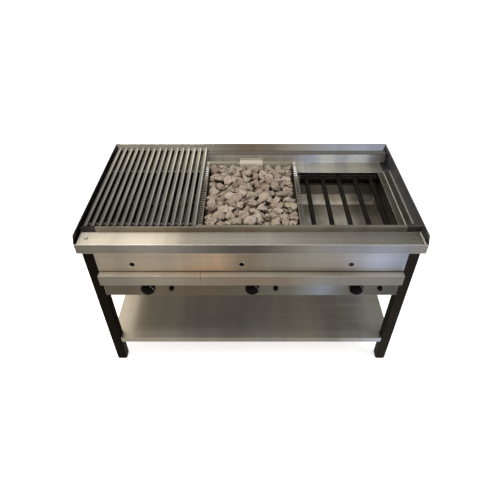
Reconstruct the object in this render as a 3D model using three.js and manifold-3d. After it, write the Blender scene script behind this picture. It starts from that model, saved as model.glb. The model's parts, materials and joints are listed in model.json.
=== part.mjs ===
import * as THREE from "three";
import { mergeVertices } from "three/addons/utils/BufferGeometryUtils.js";
import Module from "manifold-3d";

// A three-bay gas charbroiler on its own stand. Millimetres, +Z up, +X to the cook's right,
// +Y from the front lip to the back. The origin is on the floor, under the middle of the outside box.

// ---------------------------------------------------------------- driving dimensions
const WIDTH = 1200; // over the two side splashes
const DEPTH = 645; // front lip to the back of the backsplash
const HEIGHT = 728; // floor to the top edge of the splashes
const SHEET = 1.5; // folded stainless sheet
const GAP = 0.4; // clearance between neighbouring pieces

const LEG = 40; // square tube
const LEG_WALL = 2;
const LEG_INSET = 5; // outer face of a leg, inside the outer width
const FRONT_FACE = 23.5; // legs and front panels, behind the lip
const REAR_FACE = 633.5; // back of the rear legs, behind the lip
const CAP_HEIGHT = 5; // plastic foot under each leg

const SHELF_TOP = 147;
const SHELF_LIP = 25;
const CABINET_BOTTOM = 421;
const CONTROL_TOP = 497;
const CABINET_TOP = 656;

const LIP_BOTTOM = 658;
const LEDGE_TOP = 698;
const RISER_TOP = 720.5;
const RISER_FACE = 68; // back of the plating ledge
const RISER_FLANGE = 12;
const REST_TOP = 703.5; // the two rests that carry the grate
const HEARTH_TOP = 660;
const HEARTH_BOTTOM = 545;
const HEARTH_HALF = 546; // half the firebox opening across
const HEARTH_FLANGE = 572; // outer edge of the firebox flange
const HEARTH_FRONT = 143.5; // firebox opening, front edge
const HEARTH_REAR = 516.5; // firebox opening, rear edge
const RAIL_FACE = 598.5; // front face of the rear rail
const RAIL_BACK = 625;
const RAIL_HALF = 595;
const RISER_HALF = 542;

const BAY_PITCH = 389;
const BARS = 16;
const BAR_PITCH = 25.1;
const BAR_WIDTH = 16.3;
const BAR_TOP = 724;
const GRATE_FRONT = RISER_FACE + 4 + GAP; // front ends of the bars, behind the lip

const BASKET_FRONT = 100.5;
const BASKET_REAR = 526.5;
const BASKET_HALF = 176;
const BASKET_RIM = 192; // outer edge of the side rims, clear of the grate beside it
const BASKET_TOP = 701;

const BURNER_PITCH = 378;
const BURNER_TUBES = 5;
const TUBE_PITCH = 69.4;
const TUBE_RADIUS = 9.5;
const TUBE_HEIGHT = 634;
const CHAMBER_BOTTOM = 615;
const CHAMBER_TOP = 643;
const THROAT_HEIGHT = (CHAMBER_BOTTOM + CHAMBER_TOP) / 2;

const TRAY_FACE = 0.75;
const TRAY_TOP = 546;
const TRAY_BOTTOM = 499;
const TRAY_FLOOR = 503;
const TRAY_WALL_TOP = 541;
const TRAY_REAR = 523;
const TRAY_SPLIT = -185; // one-bay tray on the left, two-bay tray on the right
const TRAY_HALF = 554.5;

const CONTROL_PITCH = 393;
const CONTROL_HEIGHT = 460;
const KNOB_OFFSET = 4;
const BUTTON_OFFSET = 92.5;
const LIGHTING_OFFSET = -34;
const LIGHTING_HEIGHT = 584;
const KNOB_RADIUS = 26.5;

const BAY_NAMES = ["left", "middle", "right"];
const LEFT = -1;
const RIGHT = 1;

// The Y of a place a given distance behind the front lip.
const behind = (distance) => distance - DEPTH / 2;

// ---------------------------------------------------------------- solids
const wasm = await Module();
wasm.setup();

function solidOf(geometry) {
  const bare = geometry.index ? geometry.toNonIndexed() : geometry.clone();
  bare.deleteAttribute("normal");
  bare.deleteAttribute("uv");
  const merged = mergeVertices(bare, 1e-4);
  return new wasm.Manifold(
    new wasm.Mesh({
      numProp: 3,
      vertProperties: merged.attributes.position.array,
      triVerts: new Uint32Array(merged.index.array),
    }),
  );
}

function geometryOf(solid) {
  const mesh = solid.getMesh();
  const geometry = new THREE.BufferGeometry();
  geometry.setAttribute("position", new THREE.BufferAttribute(mesh.vertProperties, 3));
  geometry.setIndex(new THREE.BufferAttribute(mesh.triVerts, 1));
  const faceted = geometry.toNonIndexed();
  faceted.computeVertexNormals();
  return faceted;
}

const join = (solids) => solids.reduce((whole, piece) => whole.add(piece));
const cut = (whole, tools) => tools.reduce((rest, tool) => rest.subtract(tool), whole);

// A block between two opposite corners, given as ranges across, back from the lip, and up.
function block([x0, x1], [d0, d1], [z0, z1]) {
  const box = new THREE.BoxGeometry(Math.abs(x1 - x0), Math.abs(d1 - d0), Math.abs(z1 - z0));
  box.translate((x0 + x1) / 2, behind((d0 + d1) / 2), (z0 + z1) / 2);
  return solidOf(box);
}

function shapeOf(outline, holes = []) {
  const shape = new THREE.Shape(outline);
  shape.holes = holes.map((hole) => new THREE.Path(hole));
  return shape;
}

const planar = (pairs) => pairs.map(([u, v]) => new THREE.Vector2(u, v));

function extrude(shape, length, xAxis, yAxis, zAxis, origin) {
  const geometry = new THREE.ExtrudeGeometry(shape, { depth: length, bevelEnabled: false });
  const frame = new THREE.Matrix4().makeBasis(xAxis, yAxis, zAxis).setPosition(origin);
  return solidOf(geometry.applyMatrix4(frame));
}

const X = new THREE.Vector3(1, 0, 0);
const Y = new THREE.Vector3(0, 1, 0);
const Z = new THREE.Vector3(0, 0, 1);

// A side profile of [behind the lip, height] pairs, drawn out across the grill.
function drawnAcross(profile, [x0, x1]) {
  const shape = shapeOf(planar(profile.map(([d, z]) => [behind(d), z])));
  return extrude(shape, x1 - x0, Y, Z, X, new THREE.Vector3(x0, 0, 0));
}

// A front profile of [across, height] pairs, drawn out from front to back.
function drawnBack(profile, [d0, d1]) {
  const backwards = Y.clone().negate();
  const origin = new THREE.Vector3(0, behind(d1), 0);
  return extrude(shapeOf(planar(profile)), d1 - d0, X, Z, backwards, origin);
}

// A plan of [across, behind the lip] pairs, raised between two heights.
function raised(plan, [z0, z1]) {
  const shape = shapeOf(planar(plan.map(([x, d]) => [x, behind(d)])));
  return extrude(shape, z1 - z0, X, Y, Z, new THREE.Vector3(0, 0, z0));
}

// The outline of a folded sheet: the bends of one face, thickened to the right of travel.
function folded(bends, thickness = SHEET) {
  const face = planar(bends);
  const rightOf = (a, b) => {
    const along = b.clone().sub(a).normalize();
    return new THREE.Vector2(along.y, -along.x);
  };
  const other = face.map((bend, i) => {
    const before = i > 0 ? rightOf(face[i - 1], bend) : null;
    const after = i < face.length - 1 ? rightOf(bend, face[i + 1]) : null;
    if (!before || !after) return bend.clone().addScaledVector(before ?? after, thickness);
    const mitre = before.clone().add(after).divideScalar(1 + before.dot(after));
    return bend.clone().addScaledVector(mitre, thickness);
  });
  return [...face, ...other.reverse()].map((point) => [point.x, point.y]);
}

// A round bar between two distances behind the lip.
function barBack(radius, x, z, [d0, d1], sides = 16) {
  const bar = new THREE.CylinderGeometry(radius, radius, d1 - d0, sides);
  bar.translate(x, behind((d0 + d1) / 2), z);
  return solidOf(bar);
}

// An upright round bar.
function barUp(radius, x, d, [z0, z1], sides = 16) {
  const bar = new THREE.CylinderGeometry(radius, radius, z1 - z0, sides);
  bar.rotateX(Math.PI / 2);
  bar.translate(x, behind(d), (z0 + z1) / 2);
  return solidOf(bar);
}

// A turned piece on a front-to-back axis, from [radius, behind the lip] pairs, back end first.
function turned(profile, x, z, sides = 32) {
  const points = profile.map(([radius, d]) => new THREE.Vector2(radius, behind(d)));
  const lathe = new THREE.LatheGeometry(points.reverse(), sides);
  lathe.translate(x, 0, z);
  return solidOf(lathe);
}

// A centre line that keeps exactly the points it is given: none wasted on the straights.
class BentLine extends THREE.Curve {
  constructor(points) {
    super();
    this.points = points;
  }

  getPoint(t, target = new THREE.Vector3()) {
    return target.copy(this.points[Math.round(t * (this.points.length - 1))]);
  }

  getPointAt(u, target) {
    return this.getPoint(u, target);
  }

  getTangentAt(u, target = new THREE.Vector3()) {
    const last = this.points.length - 1;
    const i = Math.round(u * last);
    const before = this.points[Math.max(i - 1, 0)];
    const after = this.points[Math.min(i + 1, last)];
    return target.copy(after).sub(before).normalize();
  }
}

// A round pipe through [across, behind the lip, height] corners, with rounded bends.
function pipe(corners, radius, bend, sides = 10) {
  const spots = corners.map(([x, d, z]) => new THREE.Vector3(x, behind(d), z));
  const line = [spots[0]];
  spots.slice(1, -1).forEach((corner, i) => {
    const start = corner.clone().add(spots[i].clone().sub(corner).setLength(bend));
    const end = corner.clone().add(spots[i + 2].clone().sub(corner).setLength(bend));
    line.push(...new THREE.QuadraticBezierCurve3(start, corner, end).getPoints(5));
  });
  line.push(spots.at(-1));
  const circle = planar(
    Array.from({ length: sides }, (_, i) => {
      const angle = (2 * Math.PI * i) / sides;
      return [radius * Math.cos(angle), radius * Math.sin(angle)];
    }),
  );
  const options = { steps: line.length - 1, extrudePath: new BentLine(line) };
  return solidOf(new THREE.ExtrudeGeometry(shapeOf(circle), options));
}

// ---------------------------------------------------------------- materials
const finish = (color, roughness, metalness) => ({ color, roughness, metalness });
const FINISHES = {
  stainless: finish(0xb9b4ab, 0.34, 0.95),
  paint: finish(0x2c2722, 0.55, 0.2),
  grate: finish(0x8d8b85, 0.42, 0.9),
  burner: finish(0x3a3633, 0.62, 0.7),
  brass: finish(0xb08d4f, 0.35, 0.9),
  pipe: finish(0x55524e, 0.5, 0.8),
  plastic: finish(0x111111, 0.35, 0.0),
  ceramic: finish(0xe8e2d6, 0.3, 0.0),
  rock: finish(0xaa988a, 0.95, 0.0),
};

const grill = new THREE.Group();

function place(name, finishName, solid) {
  const mesh = new THREE.Mesh(
    geometryOf(solid),
    new THREE.MeshStandardMaterial(FINISHES[finishName]),
  );
  mesh.name = name;
  grill.add(mesh);
}

// ---------------------------------------------------------------- stand
function squareRing(size, corner, wall) {
  const rounded = (half, radius) => {
    const path = new THREE.Path();
    path.moveTo(half, -half + radius);
    path.lineTo(half, half - radius);
    path.absarc(half - radius, half - radius, radius, 0, Math.PI / 2);
    path.lineTo(-half + radius, half);
    path.absarc(-half + radius, half - radius, radius, Math.PI / 2, Math.PI);
    path.lineTo(-half, -half + radius);
    path.absarc(-half + radius, -half + radius, radius, Math.PI, 1.5 * Math.PI);
    path.lineTo(half - radius, -half);
    path.absarc(half - radius, -half + radius, radius, 1.5 * Math.PI, 2 * Math.PI);
    return path.getPoints(3).slice(0, -1);
  };
  return shapeOf(rounded(size / 2, corner), [rounded(size / 2 - wall, corner - wall)]);
}

const legCentre = WIDTH / 2 - LEG_INSET - LEG / 2;

function leg(x, d) {
  const origin = new THREE.Vector3(x, behind(d), CAP_HEIGHT + GAP);
  return extrude(squareRing(LEG, 4, LEG_WALL), CABINET_TOP - CAP_HEIGHT - GAP, X, Y, Z, origin);
}

// A pressed-in foot: a pad as wide as the leg, with a ribbed plug up inside it.
function footCap(x, d) {
  const pad = LEG / 2 - 0.2;
  const plug = LEG / 2 - LEG_WALL - GAP;
  const chamfer = 4;
  const plan = (half) => [
    [x - half + chamfer, d - half],
    [x + half - chamfer, d - half],
    [x + half, d - half + chamfer],
    [x + half, d + half - chamfer],
    [x + half - chamfer, d + half],
    [x - half + chamfer, d + half],
    [x - half, d + half - chamfer],
    [x - half, d - half + chamfer],
  ];
  return join([raised(plan(pad), [0, CAP_HEIGHT]), raised(plan(plug), [CAP_HEIGHT - 1, 30])]);
}

const legRows = { front: FRONT_FACE + LEG / 2, rear: REAR_FACE - LEG / 2 };
for (const [row, d] of Object.entries(legRows)) {
  for (const [sideName, side] of [["left", LEFT], ["right", RIGHT]]) {
    place(`leg_${row}_${sideName}`, "paint", leg(side * legCentre, d));
    place(`foot_cap_${row}_${sideName}`, "plastic", footCap(side * legCentre, d));
  }
}

const legInner = WIDTH / 2 - LEG_INSET - LEG;
const legFrontBack = FRONT_FACE + LEG;
const legRearFront = REAR_FACE - LEG;

// Tube rails that tie the legs together, hidden behind the lower edge of the cabinet.
function sideRail(side) {
  const tube = 30;
  const bottom = CABINET_BOTTOM + 3;
  const x0 = side * (legInner + 5);
  const x1 = side * (legInner + 5 + tube);
  const across = [Math.min(x0, x1), Math.max(x0, x1)];
  const inside = [across[0] + LEG_WALL, across[1] - LEG_WALL];
  const along = [legFrontBack + GAP, legRearFront - GAP];
  const hollow = block(
    inside,
    [along[0] - 1, along[1] + 1],
    [bottom + LEG_WALL, bottom + tube - LEG_WALL],
  );
  return cut(block(across, along, [bottom, bottom + tube]), [hollow]);
}

place("frame_rail_left", "paint", sideRail(LEFT));
place("frame_rail_right", "paint", sideRail(RIGHT));

// The undershelf: a pan turned upside down, notched round the legs, its lips hemmed inwards.
function undershelf() {
  const plan = (inset) => {
    const half = WIDTH / 2 - 10 - inset;
    const notch = legInner - 1.5 - inset;
    const front = FRONT_FACE + inset;
    const rear = REAR_FACE - inset;
    const frontNotch = legFrontBack + 1.5 + inset;
    const rearNotch = legRearFront - 1.5 - inset;
    return [
      [-notch, front], [notch, front], [notch, frontNotch], [half, frontNotch],
      [half, rearNotch], [notch, rearNotch], [notch, rear], [-notch, rear],
      [-notch, rearNotch], [-half, rearNotch], [-half, frontNotch], [-notch, frontNotch],
    ];
  };
  const bottom = SHELF_TOP - SHELF_LIP;
  const hollow = raised(plan(SHEET), [bottom + SHEET, SHELF_TOP - SHEET]);
  const mouth = raised(plan(12), [bottom - 1, bottom + 2 * SHEET]);
  return cut(raised(plan(0), [bottom, SHELF_TOP]), [hollow, mouth]);
}

place("undershelf", "stainless", undershelf());

// ---------------------------------------------------------------- cabinet panels
const panelSpan = [-legInner + GAP, legInner - GAP];
const controlSpots = BAY_NAMES.map((name, i) => ({ name, x: (i - 1) * CONTROL_PITCH }));

// The upper front panel, with a drawn collar round each lighting hole.
function frontPanel() {
  const bottom = 551;
  const top = LEDGE_TOP - SHEET - 2;
  const bends = [
    [FRONT_FACE + 16, bottom], [FRONT_FACE, bottom], [FRONT_FACE, top], [FRONT_FACE + 16, top],
  ];
  const collars = controlSpots.map(({ x }) =>
    barBack(11.5, x + LIGHTING_OFFSET, LIGHTING_HEIGHT, [FRONT_FACE - 0.8, FRONT_FACE + 1], 24),
  );
  const holes = controlSpots.map(({ x }) =>
    barBack(9.2, x + LIGHTING_OFFSET, LIGHTING_HEIGHT, [FRONT_FACE - 5, FRONT_FACE + 5], 24),
  );
  return cut(join([drawnAcross(folded(bends), panelSpan), ...collars]), holes);
}

// The control panel under the trays, drilled for the valve stems and the igniters.
function controlPanel() {
  const bends = [
    [FRONT_FACE + 26, CABINET_BOTTOM], [FRONT_FACE, CABINET_BOTTOM],
    [FRONT_FACE, CONTROL_TOP], [FRONT_FACE + 18, CONTROL_TOP],
  ];
  const drilled = [FRONT_FACE - 5, FRONT_FACE + 5];
  const holes = controlSpots.flatMap(({ x }) => [
    barBack(6, x + KNOB_OFFSET, CONTROL_HEIGHT, drilled, 16),
    barBack(8.2, x + BUTTON_OFFSET, CONTROL_HEIGHT, drilled, 16),
  ]);
  return cut(drawnAcross(folded(bends), panelSpan), holes);
}

function sidePanel(side) {
  const outer = WIDTH / 2 - LEG_INSET - 1;
  const bends = [
    [outer - 18, CABINET_BOTTOM], [outer, CABINET_BOTTOM],
    [outer, CABINET_TOP], [outer - 18, CABINET_TOP],
  ];
  const sheet = folded(bends, -SHEET).map(([x, z]) => [side * x, z]);
  const openCorner = block(
    [side * (outer - 20), side * (outer - SHEET - 0.5)],
    [legFrontBack, legFrontBack + 70],
    [CABINET_TOP - 3, CABINET_TOP + 1],
  );
  return cut(drawnBack(sheet, [legFrontBack + GAP, legRearFront - GAP]), [openCorner]);
}

const gasEntry = { x: 505, z: CONTROL_HEIGHT };

// The back panel, with rows of cooling slots, the hole for the gas inlet and a return along
// each leg that closes the groove beside the leg's round corner.
function backPanel() {
  const bends = [
    [REAR_FACE, CABINET_BOTTOM], [REAR_FACE, CABINET_TOP + 1], [REAR_FACE - 16, CABINET_TOP + 1],
  ];
  const through = [REAR_FACE - 8, REAR_FACE + 5];
  const slotHalf = 45;
  const slotHeight = 6;
  const lowestSlot = 590;
  const rowPitch = 16;
  const slots = [];
  for (const x of [-380, -127, 127, 380]) {
    for (let row = 0; row < 3; row += 1) {
      const z = lowestSlot + row * rowPitch;
      slots.push(block([x - slotHalf, x + slotHalf], through, [z, z + slotHeight]));
    }
  }
  const inlet = barBack(14, gasEntry.x, gasEntry.z, through, 20);
  const returns = panelSpan.map((end) => block(
    [end, end - Math.sign(end) * SHEET],
    [REAR_FACE - 16, REAR_FACE - SHEET / 2],
    [CABINET_BOTTOM, CABINET_TOP + 1 - SHEET / 2],
  ));
  const panel = join([drawnAcross(folded(bends, -SHEET), panelSpan), ...returns]);
  return cut(panel, [...slots, inlet]);
}

place("front_panel", "stainless", frontPanel());
place("control_panel", "stainless", controlPanel());
place("side_panel_left", "stainless", sidePanel(LEFT));
place("side_panel_right", "stainless", sidePanel(RIGHT));
place("back_panel", "stainless", backPanel());

// ---------------------------------------------------------------- top frame
// Sheets that meet share a little thickness, so that their faces never lie in one plane.
const LAP = 0.25;

// The plating ledge and its lip, with a small upstand at each end beside the splash.
function frontLedge() {
  const bends = [
    [14, LIP_BOTTOM], [0, LIP_BOTTOM], [0, LEDGE_TOP], [RISER_FACE - GAP, LEDGE_TOP],
  ];
  const half = WIDTH / 2 - SHEET - GAP;
  const ledgeHalf = WIDTH / 2 - 9;
  const trims = [LEFT, RIGHT].map((side) =>
    block([side * ledgeHalf, side * (half + 1)], [2.75, RISER_FACE], [LEDGE_TOP - 5, LEDGE_TOP + 1]),
  );
  const upstands = [LEFT, RIGHT].map((side) =>
    block(
      [side * (ledgeHalf - LAP - SHEET), side * (ledgeHalf - LAP)],
      [4, RISER_FACE - 1],
      [LEDGE_TOP - 1, LEDGE_TOP + 4],
    ),
  );
  return join([cut(drawnAcross(folded(bends), [-half, half]), trims), ...upstands]);
}

// A side splash: one skin from the lip's bottom to the top edge, hemmed along the top.
function sideSplash(side) {
  const outer = side * (WIDTH / 2);
  const inner = side * (WIDTH / 2 - SHEET);
  const profile = [
    [0, LIP_BOTTOM], [DEPTH, LIP_BOTTOM], [DEPTH, HEIGHT], [14.5, HEIGHT], [0, LEDGE_TOP],
  ];
  const skin = drawnAcross(profile, [Math.min(outer, inner), Math.max(outer, inner)]);
  const lapped = inner + side * LAP;
  const hemInner = side * (WIDTH / 2 - 2 * SHEET);
  const hem = block([hemInner, lapped], [18, 638], [HEIGHT - 9, HEIGHT - LAP]);
  const foot = block(
    [side * (WIDTH / 2 - 13), lapped],
    [18, DEPTH - 12],
    [LIP_BOTTOM + LAP, LIP_BOTTOM + LAP + SHEET],
  );
  return join([skin, hem, foot]);
}

// The backsplash leans back from the rear rail, then drops as the unit's rear skin.
function backsplash() {
  const bends = [
    [RAIL_BACK + 0.8, REST_TOP - 24], [RAIL_BACK + 0.8, REST_TOP], [DEPTH - 3.5, HEIGHT],
    [DEPTH, HEIGHT], [DEPTH, LIP_BOTTOM], [DEPTH - 11, LIP_BOTTOM],
  ];
  const half = WIDTH / 2 - 2 * SHEET - GAP;
  return drawnAcross(folded(bends), [-half, half]);
}

// The rear deck of the hearth, folded up into the rail that carries the grate's back end.
function rearRailSheet() {
  const bends = [
    [HEARTH_REAR, HEARTH_TOP - 15], [HEARTH_REAR, HEARTH_TOP], [RAIL_FACE, HEARTH_TOP],
    [RAIL_FACE, REST_TOP - 0.5], [RAIL_BACK, REST_TOP - 0.5], [RAIL_BACK, REST_TOP - 14],
  ];
  const sheet = drawnAcross(folded(bends), [-RAIL_HALF, RAIL_HALF]);
  const corners = [LEFT, RIGHT].flatMap((side) => [
    block(
      [side * HEARTH_FLANGE, side * (RAIL_HALF + 1)],
      [HEARTH_REAR - 1, RAIL_FACE - 0.5],
      [HEARTH_TOP - 20, HEARTH_TOP + 1],
    ),
    block(
      [side * (RAIL_HALF - 15), side * (RAIL_HALF + 1)],
      [RAIL_FACE - 1, RAIL_FACE + 2 * SHEET],
      [HEARTH_TOP - 20, HEARTH_TOP + 0.3],
    ),
  ]);
  return cut(sheet, corners);
}

// The riser behind the ledge, folded down into the rest for the grate's front end. Where the
// grate lies, the flange is cut back so that its bars come forward almost to the riser's face.
function frontRiser() {
  const foot = HEARTH_TOP + GAP;
  const inner = RISER_FACE + RISER_FLANGE;
  const bends = [
    [RISER_FACE, foot], [RISER_FACE, RISER_TOP], [inner, RISER_TOP],
    [inner, REST_TOP], [RISER_FACE + 29, REST_TOP], [RISER_FACE + 29, foot],
  ];
  const grateBay = block(
    [-RISER_HALF - 1, 4 - BAY_PITCH / 2],
    [GRATE_FRONT - GAP, inner + 1],
    [REST_TOP + 0.2, RISER_TOP + 1],
  );
  return cut(drawnAcross(folded(bends), [-RISER_HALF, RISER_HALF]), [grateBay]);
}

// The firebox: four walls under a flange, open at the top and the bottom.
function firebox() {
  const rear = HEARTH_REAR + 2.1;
  const flangeFront = RISER_FACE + 2;
  const flangeRear = HEARTH_REAR - GAP;
  const outside = block(
    [-HEARTH_HALF - SHEET, HEARTH_HALF + SHEET],
    [HEARTH_FRONT - SHEET, rear + SHEET],
    [HEARTH_BOTTOM, HEARTH_TOP - 1],
  );
  const inside = block(
    [-HEARTH_HALF, HEARTH_HALF],
    [HEARTH_FRONT, rear],
    [HEARTH_BOTTOM - 1, HEARTH_TOP + 1],
  );
  const everyX = [-HEARTH_HALF - 5, HEARTH_HALF + 5];
  const deckFlange = block(everyX, [flangeRear, rear + 0.75], [HEARTH_TOP - 16, HEARTH_TOP + 2]);
  const underDeck = block(everyX, [rear - 1, rear + 5], [HEARTH_TOP - SHEET - GAP, HEARTH_TOP + 1]);
  const inlets = BAY_NAMES.map((_, i) =>
    barBack(16, (i - 1) * BURNER_PITCH, THROAT_HEIGHT, [rear - 3, rear + 5], 20),
  );
  const innerX = HEARTH_HALF + LAP;
  const innerFront = HEARTH_FRONT - LAP;
  const flange = raised(
    [
      [-HEARTH_FLANGE, flangeFront], [HEARTH_FLANGE, flangeFront], [HEARTH_FLANGE, flangeRear],
      [innerX, flangeRear], [innerX, innerFront], [-innerX, innerFront],
      [-innerX, flangeRear], [-HEARTH_FLANGE, flangeRear],
    ],
    [HEARTH_TOP - SHEET, HEARTH_TOP],
  );
  const turndown = block(
    [LAP - HEARTH_FLANGE, HEARTH_FLANGE - LAP],
    [flangeFront + LAP, flangeFront + LAP + SHEET],
    [HEARTH_TOP - 20, HEARTH_TOP - 1],
  );
  const upstands = [LEFT, RIGHT].map((side) =>
    block(
      [side * (HEARTH_FLANGE - LAP - SHEET), side * (HEARTH_FLANGE - LAP)],
      [HEARTH_FRONT, flangeRear - LAP],
      [HEARTH_TOP - 1, HEARTH_TOP + 3],
    ),
  );
  const walls = cut(outside, [inside, deckFlange, underDeck, ...inlets]);
  return join([walls, flange, turndown, ...upstands]);
}

// The narrow shelf between the firebox flange and a side splash.
const FILLER_FRONT = 154.5;
const FILLER_REAR = 520.5;

function hearthFiller(side) {
  const top = LIP_BOTTOM + 2 * SHEET + GAP;
  const edge = WIDTH / 2 - 2 * SHEET - GAP;
  const bends = [[HEARTH_FLANGE + 1, top], [edge, top], [edge, top + 6]];
  const sheet = folded(bends).map(([x, z]) => [side * x, z]);
  return drawnBack(sheet, [FILLER_FRONT, FILLER_REAR]);
}

place("front_ledge", "stainless", frontLedge());
place("side_splash_left", "stainless", sideSplash(LEFT));
place("side_splash_right", "stainless", sideSplash(RIGHT));
place("backsplash", "stainless", backsplash());
place("rear_rail", "stainless", rearRailSheet());
place("front_riser", "stainless", frontRiser());
place("firebox", "stainless", firebox());
place("hearth_filler_left", "stainless", hearthFiller(LEFT));
place("hearth_filler_right", "stainless", hearthFiller(RIGHT));

// ---------------------------------------------------------------- burners and gas
const burnerSpots = BAY_NAMES.map((name, i) => ({ name, x: (i - 1) * BURNER_PITCH }));
const CHAMBER_DEPTH = 19.5;

// A cast burner: a chamber at the back, five bars running forward, and an open air-mixing throat.
function burner(x) {
  const rear = HEARTH_REAR - GAP;
  const front = rear - CHAMBER_DEPTH;
  const halfLength = 160;
  const chamfer = 5;
  const section = [
    [front, CHAMBER_BOTTOM], [rear, CHAMBER_BOTTOM], [rear, CHAMBER_TOP],
    [front + chamfer, CHAMBER_TOP], [front, CHAMBER_TOP - chamfer],
  ];
  const bars = Array.from({ length: BURNER_TUBES }, (_, i) => {
    const tube = x + (i - (BURNER_TUBES - 1) / 2) * TUBE_PITCH;
    return barBack(TUBE_RADIUS, tube, TUBE_HEIGHT, [HEARTH_FRONT + 6.5, front + 4], 12);
  });
  const throat = barBack(14, x, THROAT_HEIGHT, [rear - 2, rear + 34], 16);
  const bore = barBack(10.5, x, THROAT_HEIGHT, [rear + 3, rear + 40], 16);
  const chamber = drawnAcross(section, [x - halfLength, x + halfLength]);
  return cut(join([chamber, ...bars, throat]), [bore]);
}

for (const { name, x } of burnerSpots) place(`burner_${name}`, "burner", burner(x));

// Angle bars across the firebox that the burners lie on.
function burnerSupport(web, toe, top, drop) {
  const thickness = web < toe ? SHEET : -SHEET;
  const bends = [[web, top - drop], [web, top], [toe, top]];
  return drawnAcross(folded(bends, thickness), [-HEARTH_HALF + 1, HEARTH_HALF - 1]);
}

const tubeUnderside = TUBE_HEIGHT - TUBE_RADIUS;
place(
  "burner_support_front",
  "pipe",
  burnerSupport(HEARTH_FRONT + GAP, HEARTH_FRONT + 26, tubeUnderside - GAP, 25),
);
place(
  "burner_support_rear",
  "pipe",
  burnerSupport(HEARTH_REAR + 1.6, HEARTH_REAR - 22, CHAMBER_BOTTOM - GAP, 20),
);

// A ceramic spark electrode standing between two bars at the front of each burner.
function electrode(x) {
  const d = HEARTH_FRONT + 16;
  const base = tubeUnderside + GAP;
  return join([
    barUp(6, x, d, [base, base + 4], 12),
    barUp(4, x, d, [base + 3, base + 13], 12),
    barUp(1.2, x, d, [base + 12, base + 21], 8),
  ]);
}

for (const { name, x } of burnerSpots) {
  place(`spark_electrode_${name}`, "ceramic", electrode(x + TUBE_PITCH / 2));
}

const MAIN_PIPE = 72; // centre of the main gas pipe, behind the lip
const VALVE_FRONT = 27;
const VALVE_BACK = 58;
const VALVE_OUTLET = 46; // centre of a valve's outlet, behind the lip
const OUTLET_TOP = CONTROL_HEIGHT + 16;
const FEED_HEIGHT = 484;
const FEED_RISE = 580; // where the feed pipes turn up, behind the lip

// The main gas pipe: in through the back panel, forward, then across behind the three valves.
function mainPipe() {
  const line = [
    [controlSpots[0].x - 30, MAIN_PIPE, CONTROL_HEIGHT],
    [gasEntry.x, MAIN_PIPE, CONTROL_HEIGHT],
    [gasEntry.x, DEPTH - 1, gasEntry.z],
  ];
  const bosses = controlSpots.map(({ x }) =>
    barBack(7, x + KNOB_OFFSET, CONTROL_HEIGHT, [VALVE_BACK + GAP, MAIN_PIPE], 12),
  );
  return join([pipe(line, 10, 30, 12), ...bosses]);
}

// A plug valve: a round body on the stem's axis, a front nut, and an outlet on top.
function valve(x) {
  const body = turned(
    [
      [0, VALVE_BACK], [9, VALVE_BACK], [9, VALVE_BACK - 6], [13, VALVE_BACK - 8],
      [13, VALVE_FRONT + 8], [9.5, VALVE_FRONT + 6], [9.5, VALVE_FRONT], [0, VALVE_FRONT],
    ],
    x, CONTROL_HEIGHT, 16,
  );
  const outlet = barUp(7, x, VALVE_OUTLET, [OUTLET_TOP - 8, OUTLET_TOP], 12);
  const bore = barBack(4.7, x, CONTROL_HEIGHT, [VALVE_FRONT - 2, 52], 16);
  return cut(join([body, outlet]), [bore]);
}

// From a valve up and back under the trays, up behind them, and into the burner's throat.
function feedPipe(valveX, burnerX) {
  const jet = HEARTH_REAR + 30;
  const line = [
    [valveX, VALVE_OUTLET, OUTLET_TOP + GAP], [valveX, VALVE_OUTLET, FEED_HEIGHT + 4],
    [valveX, 100, FEED_HEIGHT], [burnerX, FEED_RISE - 40, FEED_HEIGHT],
    [burnerX, FEED_RISE, FEED_HEIGHT], [burnerX, FEED_RISE, THROAT_HEIGHT],
    [burnerX, jet, THROAT_HEIGHT],
  ];
  return pipe(line, 6, 3.6, 8);
}

place("main_gas_pipe", "pipe", mainPipe());
controlSpots.forEach(({ name, x }, i) => {
  place(`gas_valve_${name}`, "brass", valve(x + KNOB_OFFSET));
  place(`feed_pipe_${name}`, "pipe", feedPipe(x + KNOB_OFFSET, burnerSpots[i].x));
});

// ---------------------------------------------------------------- controls
const KNOB_BACK = 19.5;
const KNOB_FRONT = 2.5;
const GRIP_REACH = 15.5; // from the knob's axis to each end of its grip

function valveStem(x) {
  return barBack(4, x, CONTROL_HEIGHT, [6, 45], 12);
}

// A moulded knob: a wide skirt, a round hub and a grip bar standing across it.
function knob(x) {
  const body = turned(
    [
      [0, KNOB_BACK], [KNOB_RADIUS - 1, KNOB_BACK], [KNOB_RADIUS, KNOB_BACK - 1.5],
      [KNOB_RADIUS, KNOB_BACK - 5], [KNOB_RADIUS - 2, KNOB_BACK - 7.5], [21, KNOB_BACK - 8.5],
      [19.5, KNOB_BACK - 13], [17.5, KNOB_BACK - 14.5], [0, KNOB_BACK - 14.5],
    ],
    x, CONTROL_HEIGHT, 36,
  );
  const halfGrip = 4.5;
  const foot = CONTROL_HEIGHT - GRIP_REACH;
  const head = CONTROL_HEIGHT + GRIP_REACH;
  const grip = [
    [x - halfGrip + 2, foot], [x + halfGrip - 2, foot], [x + halfGrip, foot + 2],
    [x + halfGrip + 1, CONTROL_HEIGHT], [x + halfGrip, head - 1.5], [x + halfGrip - 2.5, head],
    [x - halfGrip + 2.5, head], [x - halfGrip, head - 1.5], [x - halfGrip - 1, CONTROL_HEIGHT],
    [x - halfGrip, foot + 2],
  ];
  const bore = barBack(4.5, x, CONTROL_HEIGHT, [5.5, KNOB_BACK + 1], 16);
  return cut(join([body, drawnBack(grip, [KNOB_FRONT, KNOB_BACK - 7])]), [bore]);
}

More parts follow.
